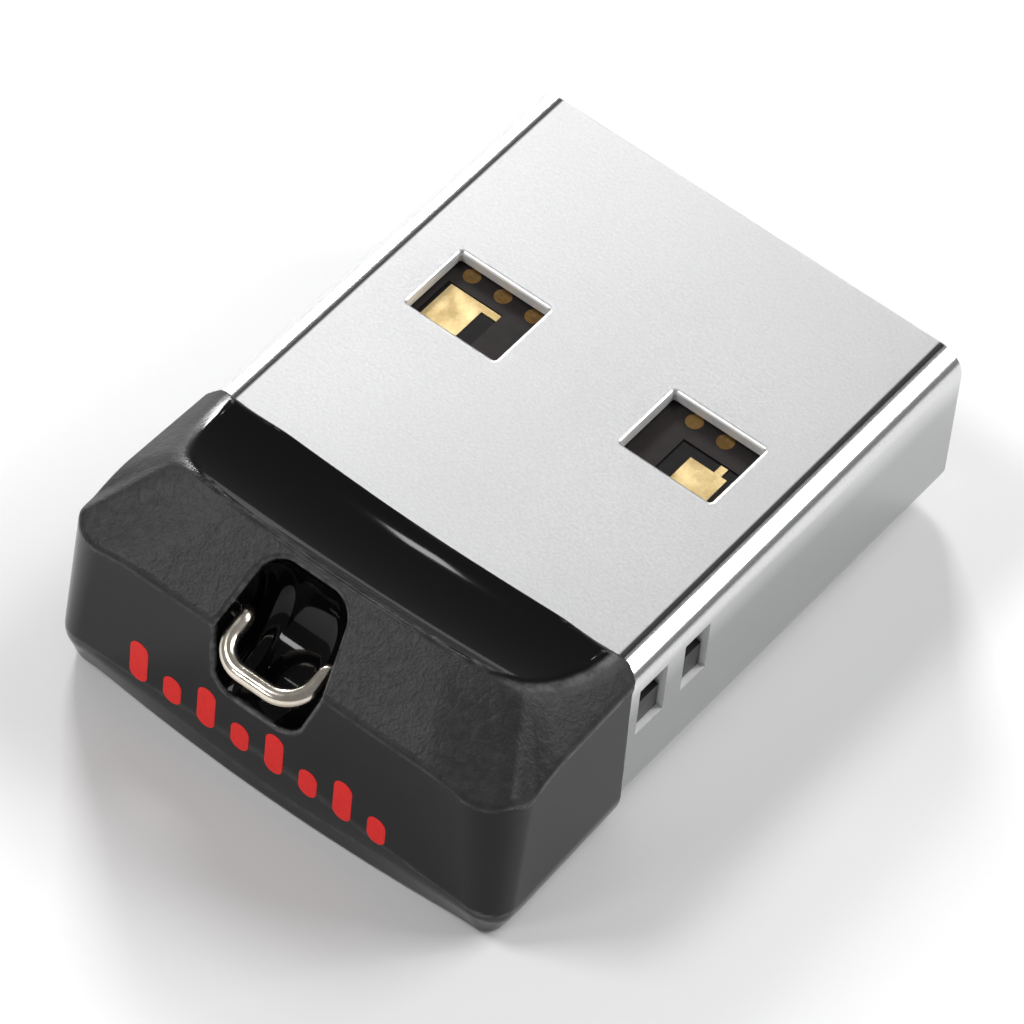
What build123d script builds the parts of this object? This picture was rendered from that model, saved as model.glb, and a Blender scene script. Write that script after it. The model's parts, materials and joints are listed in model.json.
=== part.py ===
from build123d import *
from math import cos, radians, sin
import os

# A capless USB-A flash drive. Millimetres, +Z up, +Y towards the mouth of the plug, X across it.
# The origin is under the middle of the drive's box, on the surface that the drive lies on.

# Overall
LENGTH = 17.24          # bail crossbar to plug mouth
CAP_DROP = 0.45         # cap underside below the plug shell
MOUTH = LENGTH / 2

# Plug shell: folded stainless sheet with a seam along its underside
SHELL_W = 12.0
SHELL_H = 4.5
SHEET = 0.30
BEND = 0.61             # outer bend radius
SHELL_L = 14.2          # 11.75 stands out of the cap
EXPOSED = 11.75
SHELL_TOP = CAP_DROP + SHELL_H
MOUTH_BREAK = 0.08      # broken outer edge at the mouth
WINDOW_X = 3.0          # centre of each latch window
WINDOW_W = 2.50
WINDOW_START = 5.08     # behind the mouth
WINDOW_END = 7.03
WINDOW_CORNER = 0.07
PUNCH_ROLL = 0.09       # edge rolled in by the punch
NOTCHES = [(9.22, 10.10), (10.72, 11.70)]   # side notches, start and end behind the mouth
NOTCH_TOP = 0.66        # below the shell's top face
NOTCH_BOTTOM = 2.20
SEAM_GAP = 0.03
DOVETAIL = [(2.2, 3.2), (10.4, 11.4)]       # locking tongues of the seam, behind the mouth
DOVETAIL_ROOT = 0.5     # half widths of a tongue
DOVETAIL_TIP = 0.75
DOVETAIL_REACH = 0.9

# End cap
CAP_FACE = 16.7         # front face of the cap, behind the mouth
CAP_HALF_MOUTH = 6.06   # half widths
CAP_HALF_FRONT = 6.22
CORNER_TOP = 1.20       # corner radii, at the ridge and at the crease
CORNER_LOW = 0.80
CAP_CREASE = 0.90       # height of the lower crease
UNDER_FRONT = 0.10      # insets of the underside from the outline
UNDER_BOW = 0.27        # how much further in the underside's front edge is at its ends
UNDER_SIDE = 0.26
RIDGE = SHELL_TOP - 0.08
DRAFT = 0.06            # how far the side walls lean in between the crease and the ridge
ROOF_SLOPE = 0.50       # rise over run behind the ridge
SHOULDER = 0.30         # height of the steeper band above the side walls
SHOULDER_SLOPE = 1.2
ROOF_SIDE_SLOPE = 0.62  # rise over run above that band
ROOF = SHELL_TOP + 1.40  # height that the roof planes are drawn to before the scoop trims them
RIDGE_ROUND = 0.12
SIDE_END = 12.02        # the side walls and the underside stop short of the top edge
SIDE_END_DROP = 0.10    # where they start to, below the shell's top face
SIDE_END_ROUND = 0.25
SCOOP_EDGE = 0.08       # cap thickness over the shell at the mouth side
SCOOP_RADIUS = 5.02
SCOOP_TOOL_H = 2.0      # height of the scoop's cutting tool
SCOOP_LEVEL = 2.2       # half length of the scoop's level middle
SCOOP_END = 5.0         # where its rising ends level out again
SCOOP_RISE = 0.30
SCOOP_BLEND = 4.0
LIP_R = 0.8             # a small trough that thins the scoop's ends down to the shell
POCKET_AXIS = (16.60, 0.15)   # behind the mouth, and below the shell's top face
POCKET_R = 2.02
POCKET_LEFT = (-1.75, 0.05)   # where each end wall meets the axis, and how it leans inwards
POCKET_RIGHT = (1.19, -0.33)
POCKET_ROUND = 0.55

# Lanyard bail: a bent wire in a plane that rises towards the mouth
BAIL_R = 0.20
BAIL_X = -0.30
BAIL_HALF = 1.11        # arm centre lines from the bail's middle
BAIL_CROSSBAR = LENGTH - BAIL_R
BAIL_BELOW = 0.54       # crossbar below the shell's top face
BAIL_ARM = 1.2
BAIL_TILT = 16.8        # degrees
BAIL_FOOT_L = 1.3       # feet turn outwards and down into the pocket's walls
FOOT_DROP = 45          # degrees below the plane of the bail
BAIL_CORNER = 0.72
FOOT_CORNER = 0.25

# Memory package: laminate on the window side, moulding compound under it
BOARD_HALF = 5.15
BOARD_START = 0.60
BOARD_END = 13.85
BOARD_TOP = 0.36        # below the shell's top face
BOARD_T = 0.26
BOARD_UNDER = BOARD_TOP + BOARD_T
MOLD_START = 0.75
MOLD_END = 10.90
MOLD_UNDER = 1.76
MASK_RECESS = 0.03      # depth of the openings in the solder mask
PAD_X = 3.5
PAD_W = 1.0
LEFT_PAD_START = 5.71   # behind the mouth
RIGHT_PAD_START = 6.08
PAD_END = 7.45
LEFT_OPENING = (0.10, 0.42, 0.03)     # bare laminate round a pad: towards -X, +X and the mouth
RIGHT_OPENING = (0.42, 0.36, 0.30)
OPENING_END = 0.20
PAD_T = 0.02
STUB_W = 0.19           # plating stubs
LEFT_STUB_L = 0.42
RIGHT_STUB_L = 0.26
RIGHT_STUB_X = 0.24     # from the pad's middle
PROBE_R = 0.21
PROBE_ROW = 5.24
PROBES = [-3.79, -2.91, -2.04, 2.46, 3.32]

# Dies and bond wires
FLASH_W = 9.0
FLASH_START = 3.3
FLASH_L = 6.7
FLASH_STEP = 0.35       # the second die is stepped forward, clear of the first die's wire pads
DIE_T = 0.15
FILM_T = 0.025
CONTROLLER = (2.4, 1.7)
CONTROLLER_CENTRE = 2.0
WIRE_R = 0.018
WIRE_DROP = 0.14        # from a die's pad down to the wire's bend
WIRE_BEND = 0.05
WIRE_FROM_EDGE = 0.12   # from a die's edge to its pads
FLASH_FINGERS = (0.35, 0.6)       # from the first die's edge to the laminate's fingers
CONTROLLER_FINGER = 0.22
SECOND_WIRE_X = 0.6     # the second die's wires stand beside the first's
FLASH_WIRES = [-3.6, -1.2, 1.2, 3.6]
CONTROLLER_WIRES = [-0.7, -0.25, 0.25, 0.7]

# Contact carrier and contacts
CARRIER_HALF = 5.66
CARRIER_START = 0.45
CARRIER_END = 13.95
CARRIER_FIT = 0.03
RAIL_TOP = 0.55         # clear of the shell's inner bend
TONGUE_UNDER = 2.25     # contact plane
BLOCK_START = 10.6      # rear block, behind the reach of the socket's tongue
TAB_REACH = 0.15        # snap tab, outwards into its notch
TAB_TOP = 1.42
TAB_GAP = 0.05
TONGUE_BREAK = 0.12     # chamfer along the tongue's front edge
RAIL_START = 0.60
BLOCK_INSET = 0.25      # rear block's sides, in from the tongue's
CONTACT_W = 1.0
CONTACT_T = 0.20
CONTACTS = {
    "contact_vbus": (-3.5, 1.24),
    "contact_d_minus": (-1.0, 2.24),
    "contact_d_plus": (1.0, 2.24),
    "contact_ground": (3.5, 1.24),
}
RISER = 11.15           # front face of each contact's rising tail
FOOT_END = 11.85
SOLDER_T = 0.04
SOLDER_INSET = 0.05     # in from a foot's edges

# Small parts in a row under the laminate, behind the contact feet
CHIP_0402 = (0.5, 1.0)   # across, and along the drive
CAPACITORS = [-4.7, -3.9, 2.4, 3.2]
RESISTORS = [-3.1, -2.3, 4.0]
CHIP_ROW = 12.95
CHIP_BREAK = 0.03       # broken edges
CAPACITOR_H = 0.5
RESISTOR_H = 0.33
RESONATOR = (1.6, 1.2, 0.4)
RESONATOR_X = -0.7
ESD_ARRAY = (1.0, 1.0, 0.42)
ESD_X = 1.1

NUDGE = 1.0             # how far cutting tools run past the faces that they cut
TINY = 1e-3


def at(behind, below=0.0, x=0.0):
    """A place given by its distance behind the mouth and below the shell's top face."""
    return Location((x, MOUTH - behind, SHELL_TOP - below))


def block(half_or_range, start, end, top, bottom):
    """A box across X, from start to end behind the mouth, between two depths below the shell's top face."""
    if isinstance(half_or_range, tuple):
        low, high = half_or_range
    else:
        low, high = -half_or_range, half_or_range
    middle = at((start + end) / 2, (top + bottom) / 2, (low + high) / 2)
    return middle * Box(high - low, end - start, bottom - top)


def save(name, shape):
    """Writes one node of separate solids."""
    solids = list(shape.solids())
    whole = solids[0] if len(solids) == 1 else Compound(children=solids)
    export_step(whole, f"parts/{name}.step")
    print(name, len(solids), round(whole.volume, 4))


# ---------------------------------------------------------------- plug shell

def shell_bar(inset, length):
    """The shell's outline, moved in by inset, as a bar that starts at the mouth."""
    outline = RectangleRounded(SHELL_W - 2 * inset, SHELL_H - 2 * inset, BEND - inset)
    plane = Plane(at(0, SHELL_H / 2).position, x_dir=(1, 0, 0), z_dir=(0, -1, 0))
    return extrude(plane * outline, amount=length)


def seam_slit():
    """The butt seam along the underside, with dovetail tongues that lock its two edges."""
    points = [(0, 0)]
    for start, end in DOVETAIL:
        middle = (start + end) / 2
        points += [(0, middle - DOVETAIL_ROOT), (DOVETAIL_REACH, middle - DOVETAIL_TIP)]
        points += [(DOVETAIL_REACH, middle + DOVETAIL_TIP), (0, middle + DOVETAIL_ROOT)]
    points.append((0, SHELL_L))
    line = Polyline(*[(x, MOUTH - y) for x, y in points])
    band = offset(line, amount=SEAM_GAP / 2, side=Side.BOTH)
    return Location((0, 0, SHELL_TOP - SHELL_H - NUDGE)) * extrude(make_face(band), amount=SHEET + NUDGE)


def window(side, top, bottom):
    """A cutting tool for one latch window."""
    middle = at((WINDOW_START + WINDOW_END) / 2, (top + bottom) / 2, side * WINDOW_X)
    tool = Box(WINDOW_W, WINDOW_END - WINDOW_START, bottom - top)
    return middle * fillet(tool.edges().filter_by(Axis.Z), WINDOW_CORNER)


def is_window_rim(edge):
    """True for the edges that the punch rolled in: round a window, on the outer face."""
    spot = edge.center()
    behind = MOUTH - spot.Y
    outer = min(abs(spot.Z - SHELL_TOP), abs(spot.Z - (SHELL_TOP - SHELL_H))) < TINY
    along = WINDOW_START - TINY < behind < WINDOW_END + TINY
    across = abs(abs(spot.X) - WINDOW_X) < WINDOW_W / 2 + TINY
    return outer and along and across


def plug_shell():
    tube = shell_bar(0, SHELL_L) - shell_bar(SHEET, SHELL_L)
    mouth_edges = tube.faces().sort_by(Axis.Y)[-1].outer_wire().edges()
    tube = chamfer(mouth_edges, MOUTH_BREAK)
    for side in (-1, 1):
        tube -= window(side, -NUDGE, 2 * SHEET)
        tube -= window(side, SHELL_H - 2 * SHEET, SHELL_H + NUDGE)
        for start, end in NOTCHES:
            low, high = sorted((side * (SHELL_W / 2 - 2 * SHEET), side * (SHELL_W / 2 + NUDGE)))
            tube -= block((low, high), start, end, NOTCH_TOP, NOTCH_BOTTOM)
    tube = fillet(tube.edges().filter_by(is_window_rim), PUNCH_ROLL)
    return tube - seam_slit()


# ---------------------------------------------------------------- end cap and bail

def cap_outline(height, front_inset, side_inset, corner, bow=0.0):
    """The cap's outline at one height, seen from above, as a wire with two rounded front corners."""
    edge_y = MOUTH - EXPOSED
    front_y = MOUTH - CAP_FACE + front_inset
    mouth_x = CAP_HALF_MOUTH - side_inset
    front_x = CAP_HALF_FRONT - side_inset
    left, right = (-front_x, front_y + bow), (front_x, front_y + bow)
    front = ThreePointArc(left, (0, front_y), right) if bow else Line(left, right)
    rest = Polyline(right, (mouth_x, edge_y), (-mouth_x, edge_y), left)
    face = fillet(make_face([front, rest]).vertices().sort_by(Axis.Y)[:2], corner)
    return (Location((0, 0, height)) * face).wires()[0]


def cap_block():
    """The cap before anything is cut into it: bevelled underside, drafted walls and hipped roof."""
    rise = ROOF - RIDGE
    band = SHOULDER / SHOULDER_SLOPE
    sections = [
        cap_outline(0, UNDER_FRONT, UNDER_SIDE, CORNER_LOW, UNDER_BOW),
        cap_outline(CAP_CREASE, 0, 0, CORNER_LOW, TINY),
        cap_outline(RIDGE, 0, DRAFT, CORNER_TOP, TINY),
        cap_outline(RIDGE + SHOULDER, SHOULDER / ROOF_SLOPE, DRAFT + band, CORNER_TOP, TINY),
        cap_outline(ROOF, rise / ROOF_SLOPE, DRAFT + band + (rise - SHOULDER) / ROOF_SIDE_SLOPE, CORNER_TOP, TINY),
    ]
    body = Solid.make_loft(sections, ruled=True)
    level = body.edges().filter_by(lambda e: abs(e.center().Z - RIDGE) < TINY)
    ridge = level.filter_by(lambda e: e.center().Y < MOUTH - EXPOSED - TINY)
    return fillet(ridge, RIDGE_ROUND)


def side_step():
    """Cuts the side walls and the underside back from the cap's top edge."""
    tool = block(CAP_HALF_FRONT + NUDGE, EXPOSED - NUDGE, SIDE_END, SIDE_END_DROP, SHELL_TOP + NUDGE)
    edge = tool.edges().filter_by(Axis.X).sort_by(lambda e: e.center().Z - e.center().Y)[-1]
    return fillet(edge, SIDE_END_ROUND)


def scoop():
    """The dished recess behind the crest, with a floor that rises a little towards both ends."""
    reach = (SCOOP_RADIUS ** 2 - (SCOOP_RADIUS - SCOOP_TOOL_H) ** 2) ** 0.5
    arc = RadiusArc((0, 0), (reach, SCOOP_TOOL_H), -SCOOP_RADIUS)
    closing = Polyline((reach, SCOOP_TOOL_H), (-NUDGE, SCOOP_TOOL_H), (-NUDGE, 0), (0, 0))
    low = SHELL_TOP + SCOOP_EDGE
    end_x = CAP_HALF_FRONT + NUDGE
    spots = [(-end_x, SCOOP_RISE), (-SCOOP_END, SCOOP_RISE), (-SCOOP_LEVEL, 0)]
    spots += [(-x, rise) for x, rise in reversed(spots)]
    points = [(x, MOUTH - EXPOSED, low + rise) for x, rise in spots]
    path = FilletPolyline(*points, radius=SCOOP_BLEND)
    plane = Plane(points[0], x_dir=(0, -1, 0), z_dir=(-1, 0, 0))
    trough = sweep(plane * make_face([arc, closing]), path=path)
    lip = Location((0, MOUTH - EXPOSED, low + LIP_R)) * Rotation(0, 90, 0) * Cylinder(LIP_R, 2 * end_x)
    return trough + lip


def pocket():
    """The pocket across the ridge that a lanyard passes through: a barrel with leaning end walls."""
    corners = [(x, 0) for x, _ in (POCKET_LEFT, POCKET_RIGHT)]
    corners += [(x + lean * POCKET_R, POCKET_R) for x, lean in (POCKET_RIGHT, POCKET_LEFT)]
    profile = make_face(Polyline(*corners, close=True))
    profile = fillet(profile.vertices().sort_by(Axis.Y)[-2:], POCKET_ROUND)
    return at(*POCKET_AXIS) * revolve(profile, Axis.X, 360)


def lanyard_bail():
    """A bent wire: crossbar, two arms and two feet that are moulded into the pocket's walls."""
    out, down = BAIL_FOOT_L * cos(radians(FOOT_DROP)), BAIL_FOOT_L * sin(radians(FOOT_DROP))
    spots = [(-BAIL_HALF - out, BAIL_ARM, -down), (-BAIL_HALF, BAIL_ARM, 0), (-BAIL_HALF, 0, 0)]
    spots += [(-x, y, z) for x, y, z in reversed(spots)]
    path = FilletPolyline(*spots, radius=[FOOT_CORNER, BAIL_CORNER, BAIL_CORNER, FOOT_CORNER])
    start = Plane(spots[0], z_dir=(out, 0, down))
    wire = sweep(start * Circle(BAIL_R), path=path)
    return at(BAIL_CROSSBAR, BAIL_BELOW, BAIL_X) * Rotation(BAIL_TILT, 0, 0) * wire


def end_cap(bail):
    body = cap_block() - side_step()
    body -= scoop()
    body -= pocket()
    body -= shell_bar(0, SHELL_L)
    return body - bail


# ---------------------------------------------------------------- memory package

def pad_shape(x, start, margins=(0, 0, 0), end_margin=0.0):
    """One bare supply pad as a flat face, grown by margins towards -X, +X and the mouth, and by end_margin."""
    low, high = x - PAD_W / 2 - margins[0], x + PAD_W / 2 + margins[1]
    front, back = start - margins[2], PAD_END + end_margin
    return Location(((low + high) / 2, MOUTH - (front + back) / 2, 0)) * Rectangle(high - low, back - front)


def mask_openings():
    left = pad_shape(-PAD_X, LEFT_PAD_START, LEFT_OPENING, OPENING_END)
    return left + pad_shape(PAD_X, RIGHT_PAD_START, RIGHT_OPENING, OPENING_END)


def bare_metal():
    """The supply pads with the plating stubs that lead away from them, as flat faces."""
    left_x = -PAD_X + PAD_W / 2 + LEFT_STUB_L / 2
    left_y = MOUTH - LEFT_PAD_START - STUB_W / 2
    faces = pad_shape(-PAD_X, LEFT_PAD_START) + pad_shape(PAD_X, RIGHT_PAD_START)
    faces += Location((left_x, left_y, 0)) * Rectangle(LEFT_STUB_L, STUB_W)
    right_stub = Rectangle(STUB_W, RIGHT_STUB_L * 2)
    faces += Location((PAD_X + RIGHT_STUB_X, MOUTH - RIGHT_PAD_START, 0)) * right_stub
    return faces


def recess(faces):
    """Faces on the laminate's window side, sunk by the depth of the mask openings."""
    level = SHELL_TOP - BOARD_TOP - MASK_RECESS
    return extrude(Location((0, 0, level)) * faces, amount=MASK_RECESS)


def probe_faces():
    faces = [Location((x, MOUTH - PROBE_ROW, 0)) * Circle(PROBE_R) for x in PROBES]
    return Compound(faces)


def supply_test_pads():
    level = SHELL_TOP - BOARD_TOP - MASK_RECESS
    return extrude(Location((0, 0, level)) * bare_metal(), amount=PAD_T)


def lacquered_probe_pads():
    return recess(probe_faces())


def package_substrate():
    board = block(BOARD_HALF, BOARD_START, BOARD_END, BOARD_TOP, BOARD_UNDER)
    board -= recess(mask_openings())
    board -= recess(bare_metal())
    return board - recess(probe_faces())


def die(width, start, length, level):
    """A die and its attach film, hung from the given depth: (die, film)."""
    film = block(width / 2, start, start + length, level, level + FILM_T)
    body = block(width / 2, start, start + length, level + FILM_T, level + FILM_T + DIE_T)
    return body, film


def bond_wire(x, pad, pad_level, finger):
    """One wire from a die's pad, down round a low loop, to a finger on the laminate."""
    points = [
        (x, MOUTH - pad, SHELL_TOP - pad_level),
        (x, MOUTH - pad, SHELL_TOP - pad_level - WIRE_DROP),
        (x, MOUTH - finger, SHELL_TOP - BOARD_UNDER),
    ]
    path = FilletPolyline(*points, radius=WIRE_BEND)
    start = Plane(points[0], z_dir=(0, 0, -1))
    return sweep(start * Circle(WIRE_R), path=path)


def flash_bond_wires(first_level, second_level):
    end = FLASH_START + FLASH_L
    wires = []
    for x in FLASH_WIRES:
        wires.append(bond_wire(x, end - WIRE_FROM_EDGE, first_level, end + FLASH_FINGERS[0]))
        second_pad = end - FLASH_STEP - WIRE_FROM_EDGE
        wires.append(bond_wire(x + SECOND_WIRE_X, second_pad, second_level, end + FLASH_FINGERS[1]))
    return Compound(wires)


def controller_bond_wires(level):
    wires = []
    for x in CONTROLLER_WIRES:
        for side in (-1, 1):
            edge = CONTROLLER_CENTRE + side * CONTROLLER[1] / 2
            wires.append(bond_wire(x, edge - side * WIRE_FROM_EDGE, level, edge + side * CONTROLLER_FINGER))
    return Compound(wires)


def mold_compound(buried):
    body = block(BOARD_HALF, MOLD_START, MOLD_END, BOARD_UNDER, MOLD_UNDER)
    for piece in buried:
        body -= piece
    return body


# ---------------------------------------------------------------- contacts and carrier

def contact(x, start):
    """A stamped contact: blade in the tongue's underside, rising tail and soldered foot."""
    span = (x - CONTACT_W / 2, x + CONTACT_W / 2)
    foot_top = BOARD_UNDER + SOLDER_T
    blade = block(span, start, RISER + CONTACT_T, TONGUE_UNDER - CONTACT_T, TONGUE_UNDER)
    riser = block(span, RISER, RISER + CONTACT_T, foot_top, TONGUE_UNDER)
    foot = block(span, RISER, FOOT_END, foot_top, foot_top + CONTACT_T)
    return blade + riser + foot


def contact_solder_joints():
    joints = []
    for x, _ in CONTACTS.values():
        half = CONTACT_W / 2 - SOLDER_INSET
        start = RISER + SOLDER_INSET
        joints.append(block((x - half, x + half), start, FOOT_END, BOARD_UNDER, BOARD_UNDER + SOLDER_T))
    return Compound(joints)


def contact_carrier(contacts):
    """The tongue, side rails, snap tabs and rear block that hold the package and the contacts."""
    body = block(CARRIER_HALF, CARRIER_START, CARRIER_END, MOLD_UNDER, TONGUE_UNDER)
    front = body.edges().filter_by(Axis.X).group_by(Axis.Y)[-1]
    body = chamfer(front, TONGUE_BREAK)
    for side in (-1, 1):
        low, high = sorted((side * (BOARD_HALF + CARRIER_FIT), side * CARRIER_HALF))
        body += block((low, high), RAIL_START, CARRIER_END, RAIL_TOP, MOLD_UNDER)
        for start, end in NOTCHES:
            low, high = sorted((side * CARRIER_HALF, side * (SHELL_W / 2 - TAB_REACH)))
            body += block((low, high), start + TAB_GAP, end - TAB_GAP, TAB_TOP, NOTCH_BOTTOM - TAB_GAP)
    block_half = CARRIER_HALF - BLOCK_INSET
    body += block(block_half, BLOCK_START, CARRIER_END, TONGUE_UNDER, SHELL_H - SHEET - CARRIER_FIT)
    for piece in contacts:
        body -= piece
    return body


# ---------------------------------------------------------------- small parts

def chips(columns, height):
    return Compound([small_part(x, *CHIP_0402, height) for x in columns])


def small_part(x, width, length, height):
    """A chip part under the laminate, with broken edges."""
    body = Box(width, length, height)
    body = chamfer(body.edges(), CHIP_BREAK)
    return at(CHIP_ROW, BOARD_UNDER + height / 2, x) * body


def main():
    os.makedirs("parts", exist_ok=True)
    first_die, first_film = die(FLASH_W, FLASH_START, FLASH_L, BOARD_UNDER)
    second_level = BOARD_UNDER + FILM_T + DIE_T
    second_die, second_film = die(FLASH_W, FLASH_START - FLASH_STEP, FLASH_L, second_level)
    controller_start = CONTROLLER_CENTRE - CONTROLLER[1] / 2
    controller, controller_film = die(CONTROLLER[0], controller_start, CONTROLLER[1], BOARD_UNDER)
    flash_wires = flash_bond_wires(second_level, second_level + FILM_T + DIE_T)
    controller_wires = controller_bond_wires(BOARD_UNDER + FILM_T + DIE_T)
    buried = [first_die, first_film, second_die, second_film, controller, controller_film]
    buried += list(flash_wires.solids()) + list(controller_wires.solids())
    contacts = {name: contact(*place) for name, place in CONTACTS.items()}
    bail = lanyard_bail()

    save("plug_shell", plug_shell())
    save("end_cap", end_cap(bail))
    save("lanyard_bail", bail)
    save("contact_carrier", contact_carrier(contacts.values()))
    for name, piece in contacts.items():
        save(name, piece)
    save("contact_solder_joints", contact_solder_joints())
    save("package_substrate", package_substrate())
    save("supply_test_pads", supply_test_pads())
    save("lacquered_probe_pads", lacquered_probe_pads())
    save("mold_compound", mold_compound(buried))
    save("flash_die_first", first_die)
    save("flash_die_second", second_die)
    save("flash_attach_film_first", first_film)
    save("flash_attach_film_second", second_film)
    save("controller_die", controller)
    save("controller_attach_film", controller_film)
    save("flash_bond_wires", flash_wires)
    save("controller_bond_wires", controller_wires)
    save("decoupling_capacitors", chips(CAPACITORS, CAPACITOR_H))
    save("series_resistors", chips(RESISTORS, RESISTOR_H))
    save("clock_resonator", small_part(RESONATOR_X, *RESONATOR))
    save("esd_protection_array", small_part(ESD_X, *ESD_ARRAY))


main()
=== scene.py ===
import json
import math

import bpy
import numpy as np
from mathutils import Matrix, Vector


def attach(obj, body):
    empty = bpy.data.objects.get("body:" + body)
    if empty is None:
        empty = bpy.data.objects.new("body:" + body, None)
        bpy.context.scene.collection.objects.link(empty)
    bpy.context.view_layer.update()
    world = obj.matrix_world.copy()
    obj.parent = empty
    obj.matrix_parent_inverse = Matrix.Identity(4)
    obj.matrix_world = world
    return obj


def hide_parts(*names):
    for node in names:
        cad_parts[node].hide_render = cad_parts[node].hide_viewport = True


# A capless USB flash drive: finishes for the CAD's pieces, a smooth end cap with a print on it, and a studio

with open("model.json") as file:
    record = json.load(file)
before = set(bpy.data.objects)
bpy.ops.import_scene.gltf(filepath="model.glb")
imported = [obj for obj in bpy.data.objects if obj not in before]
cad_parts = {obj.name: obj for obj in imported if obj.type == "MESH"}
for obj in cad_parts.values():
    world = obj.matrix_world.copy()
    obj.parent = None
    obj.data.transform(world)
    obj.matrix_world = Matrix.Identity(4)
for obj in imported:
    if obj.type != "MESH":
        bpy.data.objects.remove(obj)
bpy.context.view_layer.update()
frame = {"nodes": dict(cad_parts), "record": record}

# Lengths are in millimetres up to the point where a mesh is made, and metres from there on.
# +Z is up, +Y is towards the mouth of the plug and X is across it.
MM = 0.001

# Places that the drive's pieces share
MOUTH = 8.62                 # Y of the plug's mouth
SHELL_TOP = 4.95
SHELL_W, SHELL_H, SHELL_BEND = 12.0, 4.5, 0.61
CAP_BACK = MOUTH - 11.75     # Y of the cap's edge against the shell
CAP_FRONT = MOUTH - 16.7     # Y of the cap's front face
SHELL_END = MOUTH - 14.2     # Y of the shell's buried end

# End cap
CAP_HALF_BACK, CAP_HALF_FRONT = 6.06, 6.22    # half widths at the crease
CAP_DRAFT = 0.06             # how far the walls lean in from the crease to the ridge
CORNER_TOP, CORNER_LOW = 1.20, 0.80           # corner radii at the ridge and the crease
SIDE_BACK = MOUTH - 12.02    # Y of the cap's side edges, which stand back from its top edge
CREASE_FRONT, CREASE_SIDE = 1.00, 0.70        # heights of the lower crease
UNDER_MIDDLE, UNDER_SIDE = 0.10, 0.26         # insets of the underside
UNDER_BOW = 0.0104           # the front inset grows with X squared
CREASE_ROUND, BACK_ROUND = 0.08, 0.03
BACK_STEP = 0.10             # the side edges start to stand back this far above the shell's top
RIDGE = 4.87
ROOF_SLOPE, ROOF_SIDE_SLOPE = 0.50, 0.62
SHOULDER_SLOPE, SHOULDER = 1.2, 0.18          # the steeper band along the roof's sides, and its height
SHOULDER_ROUND = 0.5
SHOULDER_CLEAR = 2.0         # keeps that band away from the front
MITRE_SOFTER, MITRE_DEPTH = 0.4, 4.0          # the mitres' radius grows at this rate, up to this far in
ROOF_ROUND = 0.12            # radius of the roof's outer edge
SCOOP_LOW = 5.03             # height of the scoop's edge at the shell
SCOOP_R = 5.02
SCOOP_RISE = 0.0095          # its floor rises with X squared
SCOOP_RIM, SCOOP_RIM_END = 0.10, 0.28         # its rim's radius in the middle and at its ends
SCOOP_RIM_FROM, SCOOP_RIM_RUN = 3.6, 1.4      # where the radius starts to grow, and over what distance
POCKET_Y, POCKET_Z = MOUTH - 16.60, 4.80      # the pocket is turned about this line
POCKET_R, POCKET_ROUND, POCKET_RIM = 2.02, 0.55, 0.10
POCKET_LEFT, POCKET_LEFT_TAPER = -1.75, 0.05  # where each end wall meets that line, and how it leans
POCKET_RIGHT, POCKET_RIGHT_TAPER = 1.19, 0.33
SOCKET_INSET = 0.04

# Grid lines that the cap's surface is found on, as runs of (start, end, step)
GRID_X_MIDDLE = (-1.4, 1.4, 0.045)
GRID_X_SIDE = [(1.4, 4.6, 0.08), (4.6, 5.6, 0.055), (5.6, 5.88, 0.07), (5.88, 6.3, 0.035)]
GRID_Y = [(-8.12, -7.5, 0.05), (-7.5, -6.0, 0.06), (-6.0, -3.6, 0.08), (-3.6, -3.05, 0.05)]
GRID_Z = [(-0.1, 1.3, 0.08), (1.3, 2.6, 0.13), (2.6, 6.1, 0.055)]
SURFACE_ROUNDS, SURFACE_STRIDE = 4, 0.03      # moves of each point onto the surface, and the longest move
SLOPE_REACH, BEND_REACH = 0.004, 0.03         # distances that slope and bend are measured over
SLOPE_FLOOR = 0.05           # least squared slope that a move is divided by

# Where the cap's finish and its painted rim highlight change, as pairs that each change is eased between
POLISH_EDGE, GRAIN_EDGE = (0.01, 0.05), (0.04, 0.12)          # distances from a hollow's surface
GRAIN_FACING = (0.25, 0.5)   # how far up the surface faces
GRAIN_HEIGHT = (RIDGE - 0.5, RIDGE - 0.35)
RUBBED_BEND = (4.0, 9.0)     # one over the edge's radius
RUBBED_AND_HIGHLIGHT_CLEAR = 0.1           # nothing is rubbed or given the painted highlight this near to the shell
HIGHLIGHT_RIM_START, HIGHLIGHT_RIM_END = (0.02, 0.06), (0.08, 0.16)               # distances from a hollow's surface of the rim band with the painted highlight
HIGHLIGHT_RIM_RIGHT = (3.9, 4.8)       # X over which the painted highlight on the scoop's rim grows to full


def joined(a, b, r):
    """The part inside both fields, with its edge rounded to radius r. Fields are negative inside."""
    return np.minimum(-r, np.maximum(a, b)) + np.hypot(np.maximum(a + r, 0), np.maximum(b + r, 0))


def eased(t):
    """0 up to t = 0 and 1 from t = 1, with a smooth rise between."""
    t = np.clip(t, 0, 1)
    return t * t * (3 - 2 * t)


def share(values, low, high):
    """0 below low and 1 above high, eased between."""
    return eased((values - low) / (high - low))


def outline(x, y, z, grow):
    """How far outside the cap's outline a point lies, seen from above, with its corner radii grown."""
    down = np.clip((RIDGE - z) / (RIDGE - CREASE_FRONT), 0, 1.2)
    half = CAP_HALF_BACK + (CAP_HALF_FRONT - CAP_HALF_BACK) * (CAP_BACK - y) / (CAP_BACK - CAP_FRONT)
    side = np.abs(x) - half + CAP_DRAFT * (1 - down)
    corner = CORNER_TOP + (CORNER_LOW - CORNER_TOP) * down + grow
    return joined(CAP_FRONT - y, side, corner)


def facing_front(x, y):
    """1 where the nearest wall is the front face, 0 where it's a side."""
    return eased(0.5 + ((CAP_HALF_FRONT - np.abs(x)) - (y - CAP_FRONT)) / (2 * CORNER_TOP))


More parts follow.
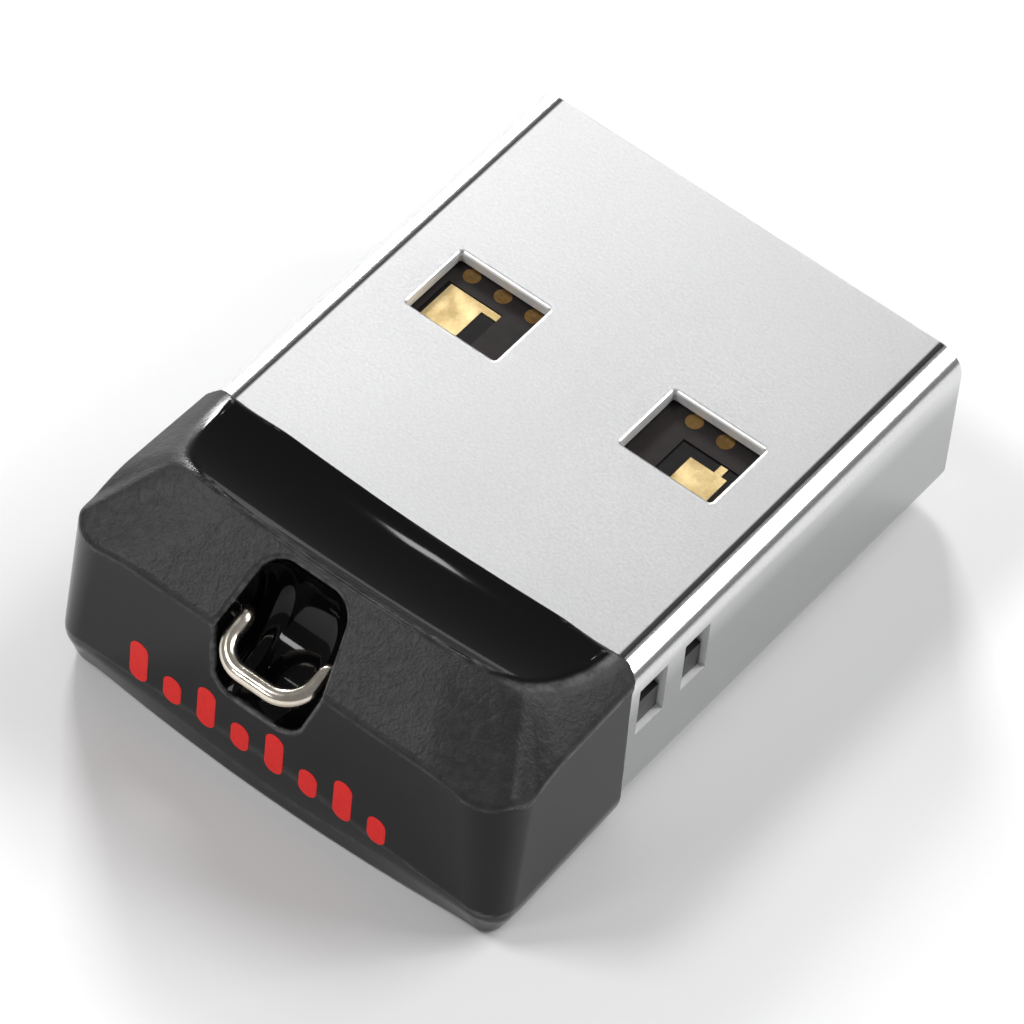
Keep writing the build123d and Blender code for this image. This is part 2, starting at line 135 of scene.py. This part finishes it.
def roof_field(x, y, z, front):
    """The roof's slopes: one behind the front ridge, and one with a steeper shoulder along each side."""
    deep = np.clip(-outline(x, y, z, 0), 0, MITRE_DEPTH)
    inset = outline(x, y, z, CORNER_TOP + MITRE_SOFTER * deep)
    slope = ROOF_SIDE_SLOPE + (ROOF_SLOPE - ROOF_SIDE_SLOPE) * front
    lift = SHOULDER * (1 - front)
    main = (z - RIDGE - lift + slope * inset) / np.hypot(1, slope)
    shoulder = (z - RIDGE + SHOULDER_SLOPE * inset) / np.hypot(1, SHOULDER_SLOPE)
    return joined(main, shoulder - SHOULDER_CLEAR * front, SHOULDER_ROUND)


def block_field(x, y, z):
    """The cap before anything is cut into it."""
    front = facing_front(x, y)
    wall = outline(x, y, z, 0)
    body = joined(wall, roof_field(x, y, z, front), ROOF_ROUND)
    crease = CREASE_SIDE + (CREASE_FRONT - CREASE_SIDE) * front
    under = UNDER_SIDE + (UNDER_MIDDLE + UNDER_BOW * x * x - UNDER_SIDE) * front
    lean = under / crease
    bevel = (wall + lean * (crease - z)) / np.hypot(1, lean)
    body = joined(body, bevel, CREASE_ROUND)
    body = joined(body, -z, CREASE_ROUND)
    back = CAP_BACK + (SIDE_BACK - CAP_BACK) * eased((SHELL_TOP + BACK_STEP - z) / SHELL_BEND)
    return joined(body, y - back, BACK_ROUND)


def scoop_field(x, y, z):
    """The thumb scoop: a trough along X whose floor rises towards its ends."""
    floor = SCOOP_LOW + SCOOP_RISE * x * x
    return np.hypot(y - CAP_BACK, z - floor - SCOOP_R) - SCOOP_R


def pocket_field(x, y, z):
    """The lanyard pocket: a turned hollow between two leaning end walls."""
    radius = np.hypot(y - POCKET_Y, z - POCKET_Z)
    left = (POCKET_LEFT + POCKET_LEFT_TAPER * radius - x) / np.hypot(1, POCKET_LEFT_TAPER)
    right = (x - POCKET_RIGHT + POCKET_RIGHT_TAPER * radius) / np.hypot(1, POCKET_RIGHT_TAPER)
    return joined(radius - POCKET_R, np.maximum(left, right), POCKET_ROUND)


def socket_field(x, y, z):
    """The hollow that the shell is pushed into. Its walls lie just inside the shell's sheet."""
    side = np.abs(x) - SHELL_W / 2 + SOCKET_INSET
    level = np.abs(z - SHELL_TOP + SHELL_H / 2) - SHELL_H / 2 + SOCKET_INSET
    return np.maximum(joined(side, level, SHELL_BEND), SHELL_END - y)


def cap_field(x, y, z):
    rim = SCOOP_RIM + (SCOOP_RIM_END - SCOOP_RIM) * eased((np.abs(x) - SCOOP_RIM_FROM) / SCOOP_RIM_RUN)
    body = joined(block_field(x, y, z), -scoop_field(x, y, z), rim)
    body = joined(body, -pocket_field(x, y, z), POCKET_RIM)
    return np.maximum(body, -socket_field(x, y, z))


def slope_of(field, points):
    """The field's direction of steepest rise at each point."""
    found = np.empty_like(points)
    for axis, step in enumerate(np.eye(3) * SLOPE_REACH):
        found[:, axis] = field(*(points + step).T) - field(*(points - step).T)
    return found / (2 * SLOPE_REACH)


def bend_of(field, points):
    """How sharply the surface bends outwards at each point, as one over a radius."""
    bend = np.zeros(len(points))
    for axis, step in enumerate(np.eye(3) * BEND_REACH):
        bend += slope_of(field, points + step)[:, axis] - slope_of(field, points - step)[:, axis]
    return bend / (2 * BEND_REACH)


def spaced(*runs):
    """Grid lines along one axis, from runs of (start, end, step)."""
    lines = [np.linspace(a, b, max(2, round((b - a) / step) + 1))[:-1] for a, b, step in runs]
    return np.append(np.concatenate(lines), runs[-1][1])


def crossings(value, lines):
    """For each axis: the grid edges along it that cross the surface, where, and which start inside."""
    inside = value < 0
    for axis in range(3):
        low = tuple(slice(0, -1) if i == axis else slice(None) for i in range(3))
        high = tuple(slice(1, None) if i == axis else slice(None) for i in range(3))
        crossed = inside[low] != inside[high]
        spots = np.argwhere(crossed)
        along = (value[low] / np.where(crossed, value[low] - value[high], 1))[crossed]
        places = np.stack([lines[i][spots[:, i]] for i in range(3)], -1)
        places[:, axis] += along * np.diff(lines[axis])[spots[:, axis]]
        yield axis, spots, places, inside[low][crossed]


def cells_before(spots, axes, steps):
    """The cells that lie some steps back from grid spots along two axes, as an index."""
    cells = spots.copy()
    cells[:, axes] -= steps
    return tuple(cells.T)


def settled(field, points):
    """The points moved onto the surface where the field is zero, with their outward normals."""
    for _ in range(SURFACE_ROUNDS):
        slope = slope_of(field, points)
        move = field(*points.T) / np.maximum((slope ** 2).sum(1), SLOPE_FLOOR)
        points = points - np.clip(move, -SURFACE_STRIDE, SURFACE_STRIDE)[:, None] * slope
    slope = slope_of(field, points)
    return points, slope / np.linalg.norm(slope, axis=1)[:, None]


def field_surface(field, lines):
    """Points, outward normals and four-sided faces of the surface where the field is zero.

    Each cell that the surface passes through has one point, and each grid edge that crosses it has one face,
    between the points of the four cells round that edge.
    """
    value = field(*np.meshgrid(*lines, indexing="ij"))
    crossed = list(crossings(value, lines))
    shape = tuple(n - 1 for n in value.shape)
    count = np.zeros(shape)
    total = np.zeros(shape + (3,))
    for axis, spots, places, _ in crossed:
        others = [i for i in range(3) if i != axis]
        for steps in ((0, 0), (0, 1), (1, 0), (1, 1)):
            cells = cells_before(spots, others, steps)
            np.add.at(count, cells, 1)
            np.add.at(total, cells, places)
    used = count > 0
    number = np.full(shape, -1)
    number[used] = np.arange(used.sum())
    faces = []
    for axis, spots, _, starts_inside in crossed:
        turning = [(axis + 1) % 3, (axis + 2) % 3]
        ring = [number[cells_before(spots, turning, steps)] for steps in ((0, 0), (1, 0), (1, 1), (0, 1))]
        quads = np.stack(ring, -1)
        quads[~starts_inside] = quads[~starts_inside][:, ::-1]
        faces.append(quads)
    points, normals = settled(field, total[used] / count[used][:, None])
    return points, normals, np.concatenate(faces)


def add_mesh(name, points, faces, normals=None):
    """A smooth object from points in millimetres."""
    mesh = bpy.data.meshes.new(name)
    mesh.from_pydata((np.asarray(points) * MM).tolist(), [], [list(map(int, face)) for face in faces])
    mesh.shade_smooth()
    if normals is not None:
        mesh.normals_split_custom_set_from_vertices(normals.tolist())
    obj = bpy.data.objects.new(name, mesh)
    bpy.context.scene.collection.objects.link(obj)
    return obj


def end_cap():
    """The cap's mesh, with the polish, grain, rubbing and painted rim highlight that its material reads at
    each point.
    """
    mirrored = [(-end, -start, step) for start, end, step in reversed(GRID_X_SIDE)]
    lines = [spaced(*mirrored, GRID_X_MIDDLE, *GRID_X_SIDE), spaced(*GRID_Y), spaced(*GRID_Z)]
    points, normals, faces = field_surface(cap_field, lines)
    cap = add_mesh("end_cap_shape", points, faces, normals)
    x, y, z = points.T
    cut = np.minimum(np.abs(scoop_field(x, y, z)), np.abs(pocket_field(x, y, z)))
    polished = 1 - share(cut, *POLISH_EDGE)
    grained = share(normals[:, 2], *GRAIN_FACING) * share(z, *GRAIN_HEIGHT) * share(cut, *GRAIN_EDGE)
    outer = (y < CAP_BACK - RUBBED_AND_HIGHLIGHT_CLEAR) & (socket_field(x, y, z) > RUBBED_AND_HIGHLIGHT_CLEAR)
    edges = share(bend_of(cap_field, points), *RUBBED_BEND) * (1 - grained)
    # Painted highlight: a lighter band along the scoop's rim towards its right end.
    rim = share(cut, *HIGHLIGHT_RIM_START) * (1 - share(cut, *HIGHLIGHT_RIM_END))
    right_rim_highlight = share(x, *HIGHLIGHT_RIM_RIGHT) * rim * (z > RIDGE)
    # Rubbed edges and the painted rim highlight share one attribute.
    rubbed_and_highlight = np.maximum(edges, right_rim_highlight) * outer
    for name, values in (("polished", polished), ("grained", grained), ("rubbed_and_highlight", rubbed_and_highlight)):
        layer = cap.data.attributes.new(name, "FLOAT", "POINT")
        layer.data.foreach_set("value", values.astype(np.float32))
    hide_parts("end_cap")
    return cap


# ---------------------------------------------------------------- generic print on the cap's front face

PRINT_LEFT, PRINT_RIGHT = -3.95, 3.20
PRINT_LOW = 1.22
PRINT_HEIGHTS = [1.30, 0.86] * 4
PRINT_BAR = 0.50             # width
PRINT_STAND, PRINT_SINK = 0.010, 0.004        # in front of the cap's face and behind it
PRINT_EDGE, PRINT_EDGE_STAND = 0.012, 0.006   # width of the bars' bevel, and where it starts
PRINT_TURNS = 13             # points round each end of a bar


def rounded_bar(x, z, width, height):
    """Outline of an upright bar with round ends, anticlockwise as seen from the front."""
    r = width / 2
    turns = np.linspace(0, np.pi, PRINT_TURNS)
    top = [(x + r + r * np.cos(t), z + height - r + r * np.sin(t)) for t in turns]
    low = [(x + r - r * np.cos(t), z + r - r * np.sin(t)) for t in turns]
    return np.array(top + low)


def front_print():
    """A row of plain bars, each a thin plate let into the cap's front face."""
    points, faces = [], []
    pitch = (PRINT_RIGHT - PRINT_LEFT - PRINT_BAR) / (len(PRINT_HEIGHTS) - 1)
    for i, height in enumerate(PRINT_HEIGHTS):
        ring = rounded_bar(PRINT_LEFT + i * pitch, PRINT_LOW, PRINT_BAR, height)
        middle = ring.mean(0)
        start, n = len(points), len(ring)
        for shrink, stand in ((0, -PRINT_SINK), (0, PRINT_EDGE_STAND), (PRINT_EDGE, PRINT_STAND)):
            inner = middle + (ring - middle) * (1 - shrink / (PRINT_BAR / 2))
            points += [(x, CAP_FRONT - stand, z) for x, z in inner]
        for layer in (0, 1):
            base = start + layer * n
            for k in range(n):
                m = (k + 1) % n
                faces.append((base + k, base + m, base + n + m, base + n + k))
        faces.append(tuple(start + 2 * n + k for k in range(n)))
        faces.append(tuple(start + n - 1 - k for k in range(n)))
    obj = add_mesh("front_print", points, faces)
    obj.data.shade_flat()
    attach(obj, "root")
    return obj


# ---------------------------------------------------------------- materials

# Zones of the shell's finish, its painted shade and its painted dark reflection line, as pairs that each
# change is spread between: distances across it, then heights
SHEET_FLAT = (SHELL_W / 2 - SHELL_BEND) * MM
# The painted dark reflection line along the start of each bend: where it runs, and its half width
BEND_LINE, BEND_LINE_HALF = SHEET_FLAT - 0.01 * MM, (0.05 * MM, 0.10 * MM)
BURNISH_START, BURNISH_END = (SHEET_FLAT, SHEET_FLAT + 0.1 * MM), (5.85 * MM, 5.98 * MM)
WINDOW_END = (5.35 * MM, 5.38 * MM)
SIDE_START = (5.55 * MM, 5.60 * MM)
NOTCH_LOW, NOTCH_HIGH = 2.5 * MM, 4.32 * MM
# Heights over which the side walls' painted shade fades out upwards
WALL_SHADE = (3.5 * MM, 4.3 * MM)

# The sheet's faces are told apart by how far their normals point along one axis, from 0 to 1
UPRIGHT_UNDER = (0.25, 0.6)  # along Z
CUT_OVER = (0.7, 0.9)        # along Y at the mouth, and along Z in the notches
WALL_OVER = (0.95, 0.99)     # along X

# Colours. A pair is mixed in patches.
STEEL = ((0.68, 0.68, 0.685), (0.74, 0.74, 0.745))
# The side walls' colour is a painted shade, and the bend line's colour is a painted dark reflection.
STEEL_WALL_PAINTED_SHADE, STEEL_BEND_PAINTED_REFLECTION = (0.47, 0.475, 0.48), (0.06, 0.06, 0.062)
STEEL_CUT = ((0.86, 0.86, 0.865), (0.96, 0.96, 0.96))
CAP_SMOOTH = ((0.007, 0.007, 0.008), (0.009, 0.009, 0.010))
CAP_GRAIN = ((0.025, 0.025, 0.026), (0.037, 0.037, 0.038))
# The rubbed colour also paints the highlight on the scoop's right rim.
CAP_POLISHED, CAP_RUBBED_AND_HIGHLIGHT = (0.003, 0.003, 0.0035), (0.105, 0.105, 0.107)
RED_INK = ((0.80, 0.014, 0.012), (0.90, 0.028, 0.022))
MASK = ((0.015, 0.012, 0.012), (0.021, 0.016, 0.016))
MASK_OPENED = (0.004, 0.003, 0.003)

MASK_LEVEL = (4.57 * MM, 4.58 * MM)           # the laminate is open below this and masked above it
WEAVE = 1.4                  # pitch of the laminate's glass weave
PATCHES = 7                  # how many times larger a worn surface's patches are than its bumps

COLOR_A, COLOR_B, COLOR_OUT = 6, 7, 2         # the Mix node's colour sockets


class Look:
    """A material being built. Patterns are in object space and their sizes are given in millimetres."""

    def __init__(self, name, metallic=0.0):
        self.material = bpy.data.materials.new(name)
        self.material.use_nodes = True
        self.tree = self.material.node_tree
        self.shader = self.tree.nodes["Principled BSDF"]
        self.shader.inputs["Metallic"].default_value = metallic
        self.place = self.add("ShaderNodeTexCoord").outputs["Object"]

    def add(self, kind, settings=None, **inputs):
        node = self.tree.nodes.new(kind)
        for key, value in (settings or {}).items():
            setattr(node, key, value)
        for key, value in inputs.items():
            self.feed(node.inputs[key.replace("_", " ")], value)
        return node

    def feed(self, socket, value):
        if isinstance(value, bpy.types.NodeSocket):
            self.tree.links.new(value, socket)
        else:
            socket.default_value = value

    def axis(self, name):
        """How far along one of the object's axes a point lies, in metres."""
        return self.add("ShaderNodeSeparateXYZ", Vector=self.place).outputs[name]

    def stretched(self, x, y, z):
        node = self.add("ShaderNodeMapping", Vector=self.place)
        node.inputs["Scale"].default_value = (x, y, z)
        return node.outputs["Vector"]

    def noise(self, size, detail=3.0, rough=0.5, distortion=0.0, place=None):
        node = self.add("ShaderNodeTexNoise", Vector=place or self.place, Scale=1000 / size, Detail=detail,
                        Roughness=rough, Distortion=distortion)
        return node.outputs["Fac"]

    def spread(self, value, low, high, to_low, to_high):
        """Moves values between low and high to the range from to_low to to_high, and clips them to it."""
        node = self.add("ShaderNodeMapRange", Value=value)
        for key, number in zip(("From Min", "From Max", "To Min", "To Max"), (low, high, to_low, to_high)):
            self.feed(node.inputs[key], number)
        return node.outputs["Result"]

    def math(self, kind, a, b):
        node = self.add("ShaderNodeMath", {"operation": kind})
        self.feed(node.inputs[0], a)
        self.feed(node.inputs[1], b)
        return node.outputs["Value"]

    def absolute(self, value):
        return self.math("ABSOLUTE", value, 0.0)

    def blend(self, amount, a, b):
        """Colour a where the amount is 0, and colour b where it's 1."""
        node = self.add("ShaderNodeMix", {"data_type": "RGBA"}, Factor=amount)
        for socket, color in ((node.inputs[COLOR_A], a), (node.inputs[COLOR_B], b)):
            self.feed(socket, color if isinstance(color, bpy.types.NodeSocket) else (*color, 1))
        return node.outputs[COLOR_OUT]

    def attribute(self, name):
        return self.add("ShaderNodeAttribute", {"attribute_name": name}).outputs["Fac"]

    def color(self, value):
        self.feed(self.shader.inputs["Base Color"], value)

    def rough(self, value):
        self.feed(self.shader.inputs["Roughness"], value)

    def shine(self, level):
        self.shader.inputs["Specular IOR Level"].default_value = level

    def bump(self, height, depth):
        """Bumps whose full height is depth, in millimetres."""
        node = self.add("ShaderNodeBump", Height=height, Distance=depth * MM)
        if self.shader.inputs["Normal"].is_linked:
            self.feed(node.inputs["Normal"], self.shader.inputs["Normal"].links[0].from_socket)
        self.feed(self.shader.inputs["Normal"], node.outputs["Normal"])


def cut_edges(look, across, height, turned, upright):
    """The sheet's sheared edges: round the windows, at the mouth and in the side notches."""
    window = look.math("MULTIPLY", upright, look.spread(across, *WINDOW_END, 1, 0))
    mouth = look.spread(turned["Y"], *CUT_OVER, 0, 1)
    notch_level = look.math("MULTIPLY", look.math("LESS_THAN", height, NOTCH_HIGH),
                            look.math("GREATER_THAN", height, NOTCH_LOW))
    notch_place = look.math("MULTIPLY", look.spread(across, *SIDE_START, 0, 1), notch_level)
    notch = look.math("MULTIPLY", look.spread(turned["Z"], *CUT_OVER, 0, 1), notch_place)
    return look.math("MAXIMUM", window, look.math("MAXIMUM", mouth, notch))


def steel():
    """Satin sheet: grained flats, burnished bends with a painted dark reflection line along them, side walls
    with painted shade that deepens downwards, pale cut edges.
    """
    look = Look("satin_steel", metallic=1.0)
    grain = look.noise(0.075, detail=4, rough=0.65)
    across = look.absolute(look.axis("X"))
    height = look.axis("Z")
    facing = look.add("ShaderNodeSeparateXYZ", Vector=look.add("ShaderNodeNewGeometry").outputs["Normal"])
    turned = {axis: look.absolute(facing.outputs[axis]) for axis in "XYZ"}

    upright = look.spread(turned["Z"], *UPRIGHT_UNDER, 1, 0)
    cut = cut_edges(look, across, height, turned, upright)
    # Painted shade: the side walls are darker towards the bottom.
    wall = look.math("MULTIPLY", look.spread(turned["X"], *WALL_OVER, 0, 1),
                     look.spread(height, *WALL_SHADE, 1, 0))
    burnished = look.math("MULTIPLY", look.spread(across, *BURNISH_START, 0, 1),
                          look.spread(across, *BURNISH_END, 1, 0))
    # Painted dark reflection: a dark line along the start of each bend, on upward faces.
    off_line = look.absolute(look.math("SUBTRACT", across, BEND_LINE))
    line = look.math("MULTIPLY", look.spread(off_line, *BEND_LINE_HALF, 1, 0),
                     look.math("SUBTRACT", 1.0, upright))

    sheen = look.blend(look.spread(grain, 0.35, 0.65, 0, 1), *STEEL)
    sheen = look.blend(wall, sheen, STEEL_WALL_PAINTED_SHADE)
    sheen = look.blend(line, sheen, STEEL_BEND_PAINTED_REFLECTION)
    tear = look.noise(0.12, rough=0.6, place=look.stretched(1, 1, 0.2))
    look.color(look.blend(cut, sheen, look.blend(tear, *STEEL_CUT)))
    cloud = look.noise(4.0, detail=2)
    satin = look.math("ADD", look.spread(cloud, 0.3, 0.7, 0.345, 0.355),
                      look.spread(grain, 0.3, 0.7, -0.03, 0.03))
    satin = look.spread(burnished, 0, 1, satin, 0.16)
    look.rough(look.spread(cut, 0, 1, satin, 0.72))
    look.bump(look.math("MULTIPLY", grain, look.spread(burnished, 0, 1, 1, 0.2)), 0.0030)
    return look.material


def plastic():
    """Moulded black plastic: leather grain on the roof, high polish in the hollows, rubbed edges, and a
    painted highlight on the scoop's right rim.
    """
    look = Look("cap_plastic")
    grained = look.attribute("grained")
    polished = look.attribute("polished")
    wrinkle = look.noise(0.26, distortion=0.8)
    cloud = look.noise(1.8, rough=0.6)
    broken = look.spread(look.noise(0.35, rough=0.6), 0.35, 0.6, 0.35, 1)
    # Rubbed edges and the painted highlight on the scoop's right rim, broken up in patches.
    rubbed_and_highlight = look.math("MULTIPLY", look.attribute("rubbed_and_highlight"), broken)

    tone = look.blend(look.spread(cloud, 0.35, 0.65, 0, 1), *CAP_SMOOTH)
    tone = look.blend(grained, tone, look.blend(look.spread(wrinkle, 0.4, 0.7, 0, 1), *CAP_GRAIN))
    tone = look.blend(polished, tone, CAP_POLISHED)
    look.color(look.blend(rubbed_and_highlight, tone, CAP_RUBBED_AND_HIGHLIGHT))
    rough = look.spread(grained, 0, 1, look.spread(cloud, 0.3, 0.7, 0.15, 0.20), 0.42)
    look.rough(look.spread(polished, 0, 1, rough, 0.055))
    look.shine(0.20)
    look.bump(look.math("MULTIPLY", wrinkle, grained), 0.016)
    look.bump(look.math("MULTIPLY", look.noise(0.07, detail=2), grained), 0.010)
    look.bump(look.math("MULTIPLY", look.noise(0.05, detail=2), look.spread(polished, 0, 1, 1, 0.05)), 0.0010)
    return look.material


def red_ink():
    """Flat pad-printed red."""
    look = Look("red_ink")
    film = look.noise(0.12, rough=0.6)
    look.color(look.blend(look.spread(film, 0.3, 0.7, 0, 1), *RED_INK))
    look.rough(look.spread(film, 0.3, 0.7, 0.38, 0.52))
    look.shine(0.20)
    look.bump(film, 0.002)
    return look.material


def worn(name, dark, light, metallic, rough, size, depth, streak):
    """A surface of two close colours in patches of a given size, with matching gloss and bumps."""
    look = Look(name, metallic)
    fine = look.noise(size, rough=0.6, place=look.stretched(1, streak, 1))
    patch = look.noise(size * PATCHES, detail=2)
    look.color(look.blend(look.spread(look.math("ADD", fine, patch), 0.8, 1.2, 0, 1), dark, light))
    look.rough(look.spread(patch, 0.3, 0.7, *rough))
    look.bump(fine, depth)
    return look.material


def laminate():
    """Black solder mask over woven glass, darker where the mask is open."""
    look = Look("solder_mask")
    warp, weft = (look.add("ShaderNodeTexWave", {"bands_direction": axis}, Vector=look.place,
                           Scale=1000 / WEAVE).outputs["Fac"] for axis in "XY")
    film = look.noise(0.5, rough=0.6)
    mask = look.blend(look.spread(film, 0.3, 0.7, 0, 1), *MASK)
    opened = look.spread(look.axis("Z"), *MASK_LEVEL, 1, 0)
    look.color(look.blend(opened, mask, MASK_OPENED))
    look.rough(look.spread(film, 0.3, 0.7, 0.42, 0.5))
    look.shine(0.15)
    look.bump(look.math("MULTIPLY", warp, weft), 0.002)
    return look.material


# Slots with a plain worn surface: two colours, metallic, lowest and highest roughness, size and depth of the
# bumps, and the scale of the bumps' pattern along Y, where less than 1 draws them out
NICKEL_WIRE = ((0.76, 0.69, 0.58), (0.85, 0.79, 0.69), 1, (0.14, 0.24), 0.06, 0.0012, 0.3)
WORN = {
    "carrier_plastic": ((0.012, 0.012, 0.013), (0.020, 0.020, 0.021), 0, (0.38, 0.5), 0.1, 0.003, 1),
    "contact_gold": ((0.80, 0.60, 0.26), (0.90, 0.70, 0.34), 1, (0.16, 0.28), 0.05, 0.001, 0.08),
    "pad_gold": ((0.80, 0.58, 0.26), (0.92, 0.72, 0.38), 1, (0.28, 0.42), 0.07, 0.003, 1),
    "probe_lacquer": ((0.14, 0.072, 0.015), (0.23, 0.13, 0.033), 0.5, (0.3, 0.42), 0.08, 0.003, 1),
    "mold_epoxy": ((0.018, 0.018, 0.019), (0.032, 0.032, 0.033), 0, (0.5, 0.65), 0.06, 0.004, 1),
    "silicon": ((0.20, 0.21, 0.24), (0.27, 0.28, 0.32), 0.7, (0.1, 0.2), 0.3, 0.001, 1),
    "attach_film": ((0.45, 0.40, 0.28), (0.55, 0.50, 0.36), 0, (0.4, 0.5), 0.1, 0.001, 1),
    "bond_gold": ((0.86, 0.62, 0.25), (0.94, 0.72, 0.34), 1, (0.15, 0.25), 0.02, 0.0005, 1),
    "solder": ((0.60, 0.60, 0.60), (0.72, 0.72, 0.71), 1, (0.25, 0.4), 0.06, 0.003, 1),
    "capacitor_ceramic": ((0.36, 0.24, 0.15), (0.46, 0.32, 0.21), 0, (0.4, 0.55), 0.05, 0.002, 1),
    "resistor_ceramic": ((0.025, 0.025, 0.028), (0.05, 0.05, 0.055), 0, (0.3, 0.45), 0.05, 0.002, 1),
    "resonator_lid": ((0.62, 0.61, 0.58), (0.72, 0.71, 0.68), 1, (0.2, 0.32), 0.06, 0.001, 0.1),
    "array_epoxy": ((0.02, 0.02, 0.021), (0.035, 0.035, 0.036), 0, (0.45, 0.6), 0.05, 0.003, 1),
}


def looks():
    """One finished material for each slot of the record."""
    finished = {"shell_steel": steel(), "cap_plastic": plastic(), "laminate": laminate()}
    finished["bail_metal"] = worn("nickel_wire", *NICKEL_WIRE)
    return finished | {slot: worn(slot, *surface) for slot, surface in WORN.items()}


# ---------------------------------------------------------------- camera and studio

CAMERA_PLACE = Vector((60.917, -92.069, 141.248)) * MM
CAMERA_TARGET = Vector((0.248, -0.094, 2.832)) * MM
CAMERA_ROLL = 6.340          # degrees
CAMERA_LENS, CAMERA_SENSOR = 283.1, 36        # millimetres, of the camera itself
CAMERA_NEAR, CAMERA_FAR = 0.01, 10            # metres

FLOOR_HALF, FLOOR_DROP = 900, 0.01            # millimetres
FLOOR_COLOR = (0.86, 0.86, 0.86, 1)
FLOOR_ROUGH = 0.6
WORLD_COLOR = (0.22, 0.22, 0.22, 1)

# Soft lights that face the drive: place and size in metres, power in watts
LIGHTS = {
    "key_light": ((-0.31, 0.31, 0.24), (0.10, 0.09), 1.25),
    "glint_light": ((-0.18, 0.33, 0.33), (0.018, 0.022), 0.020),
    "front_light": ((-0.175, -0.42, 0.21), (0.11, 0.05), 0.30),
    "top_light": ((-0.225, -0.153, 0.36), (0.12, 0.10), 0.7),
    "right_edge_light": ((0.27, 0.234, 0.27), (0.20, 0.16), 0.75),
    "right_upper_light": ((0.12, 0.234, 0.36), (0.16, 0.16), 0.48),
    "left_edge_light": ((-0.36, 0.225, 0.11), (0.16, 0.16), 0.26),
}


def camera():
    data = bpy.data.cameras.new("camera")
    data.lens = CAMERA_LENS
    data.sensor_width = CAMERA_SENSOR
    data.clip_start, data.clip_end = CAMERA_NEAR, CAMERA_FAR
    obj = bpy.data.objects.new("camera", data)
    bpy.context.scene.collection.objects.link(obj)
    look = (CAMERA_TARGET - CAMERA_PLACE).to_track_quat("-Z", "Y")
    roll = Matrix.Rotation(math.radians(CAMERA_ROLL), 4, "Z")
    obj.matrix_world = Matrix.Translation(CAMERA_PLACE) @ look.to_matrix().to_4x4() @ roll
    bpy.context.scene.camera = obj


def softbox(name, place, size, power):
    data = bpy.data.lights.new(name, "AREA")
    data.shape = "RECTANGLE"
    data.size, data.size_y = size
    data.energy = power
    obj = bpy.data.objects.new(name, data)
    obj.location = place
    obj.rotation_euler = (-Vector(place)).to_track_quat("-Z", "Y").to_euler()
    bpy.context.scene.collection.objects.link(obj)


def pale_floor():
    signs = ((-1, -1), (1, -1), (1, 1), (-1, 1))
    corners = [(x * FLOOR_HALF, y * FLOOR_HALF, -FLOOR_DROP) for x, y in signs]
    floor = add_mesh("floor", corners, [(0, 1, 2, 3)])
    look = Look("floor_white")
    look.color(FLOOR_COLOR)
    look.rough(FLOOR_ROUGH)
    floor.data.materials.append(look.material)


def studio():
    pale_floor()
    world = bpy.data.worlds.new("studio")
    world.use_nodes = True
    world.node_tree.nodes["Background"].inputs["Color"].default_value = WORLD_COLOR
    bpy.context.scene.world = world
    for name, light in LIGHTS.items():
        softbox(name, *light)
    bpy.context.scene.view_settings.view_transform = "Standard"


# ---------------------------------------------------------------- the scene

finishes = looks()
for part in frame["record"]["subparts"]:
    piece = frame["nodes"][part["node"]]
    piece.data.materials.clear()
    piece.data.materials.append(finishes[part["material_slot"]])

cap = end_cap()
cap.data.materials.append(finishes["cap_plastic"])
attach(cap, "root")
mark = front_print()
mark.data.materials.append(red_ink())
camera()
studio()
